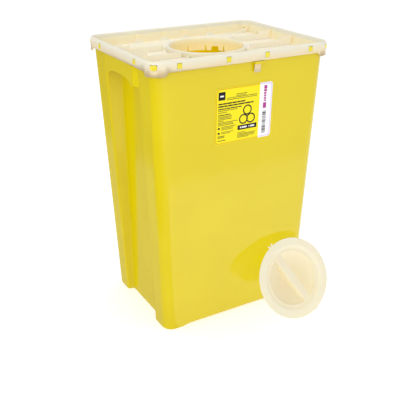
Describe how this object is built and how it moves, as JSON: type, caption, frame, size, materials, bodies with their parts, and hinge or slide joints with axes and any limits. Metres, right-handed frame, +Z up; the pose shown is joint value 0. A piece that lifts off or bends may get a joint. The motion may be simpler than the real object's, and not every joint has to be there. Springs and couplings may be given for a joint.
{
  "type": "sharps container",
  "caption": "Tall tapered plastic sharps bin with a press-fit lid, a large round port in the lid and a loose port cap leaning against its front.",
  "frame": {"origin": "centre of the bin's base, on the floor that it stands on", "axes": "+Z up, -Y out of the labelled front, +X to the right seen from the front"},
  "size_m": [0.4554, 0.4363, 0.66],
  "materials": {
    "yellow_polypropylene": "smooth moulded yellow polypropylene",
    "natural_polypropylene": "satin natural polypropylene, slightly translucent",
    "printed_label": "printed film label",
    "white_label": "printed film label"
  },
  "bodies": {
    "bin": {"bin_shell": "yellow_polypropylene", "left_grip_flange": "yellow_polypropylene", "right_grip_flange": "yellow_polypropylene", "latch_loop": "yellow_polypropylene", "label_sheet": "printed_label", "tracking_strip": "white_label", "snap_hook_front_1": "yellow_polypropylene", "snap_hook_front_2": "yellow_polypropylene", "snap_hook_front_3": "yellow_polypropylene", "snap_hook_front_4": "yellow_polypropylene", "snap_hook_back_1": "yellow_polypropylene", "snap_hook_back_2": "yellow_polypropylene", "snap_hook_back_3": "yellow_polypropylene", "snap_hook_back_4": "yellow_polypropylene", "snap_hook_left_1": "yellow_polypropylene", "snap_hook_left_2": "yellow_polypropylene", "snap_hook_right_1": "yellow_polypropylene", "snap_hook_right_2": "yellow_polypropylene", "snap_hook_front_left": "yellow_polypropylene", "snap_hook_front_right": "yellow_polypropylene", "snap_hook_back_left": "yellow_polypropylene", "snap_hook_back_right": "yellow_polypropylene"},
    "lid": {"lid_panel": "natural_polypropylene", "port_collar": "natural_polypropylene", "latch_tongue": "natural_polypropylene"},
    "cap": {"port_cap": "natural_polypropylene", "cap_grip_bar": "natural_polypropylene"}
  },
  "joints": [
    {"name": "lid_lift", "type": "slide", "parent": "bin", "child": "lid", "axis": [0, 0, 1], "range_m": [0, 0.15], "deforming": ["snap_hook_front_1", "snap_hook_front_2", "snap_hook_front_3", "snap_hook_front_4", "snap_hook_back_1", "snap_hook_back_2", "snap_hook_back_3", "snap_hook_back_4", "snap_hook_left_1", "snap_hook_left_2", "snap_hook_right_1", "snap_hook_right_2", "snap_hook_front_left", "snap_hook_front_right", "snap_hook_back_left", "snap_hook_back_right"]},
    {"name": "cap_pull", "type": "slide", "parent": "bin", "child": "cap", "axis": [0, -0.891, 0.454], "range_m": [0, 0.15]}
  ]
}
